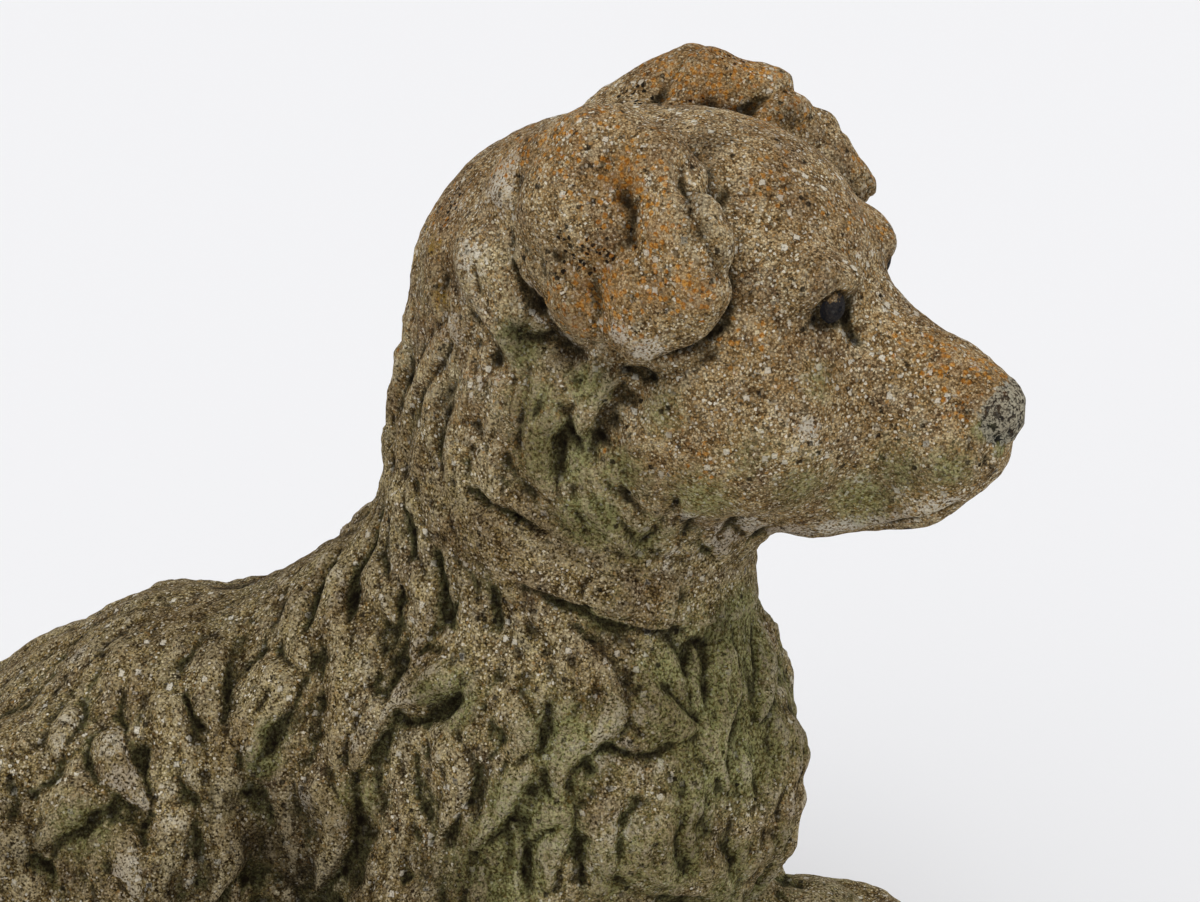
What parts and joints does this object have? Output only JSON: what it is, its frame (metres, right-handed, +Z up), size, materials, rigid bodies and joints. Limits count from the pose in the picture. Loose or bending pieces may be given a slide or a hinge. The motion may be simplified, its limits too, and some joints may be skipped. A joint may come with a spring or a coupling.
{
  "type": "terrier statue",
  "caption": "Weathered garden statue of a collared terrier lying alert with raised head on a low slab, cast in stone in one piece.",
  "frame": {"origin": "middle of the statue's overall length and width, on its underside", "axes": "+X the way the dog's body faces, +Y to the dog's left, +Z up"},
  "size_m": [0.4342, 0.2234, 0.365],
  "materials": {
    "weathered_stone": "rough, granular, weathered with lichen and algae"
  },
  "bodies": {
    "root": {"terrier": "weathered_stone"}
  },
  "joints": []
}
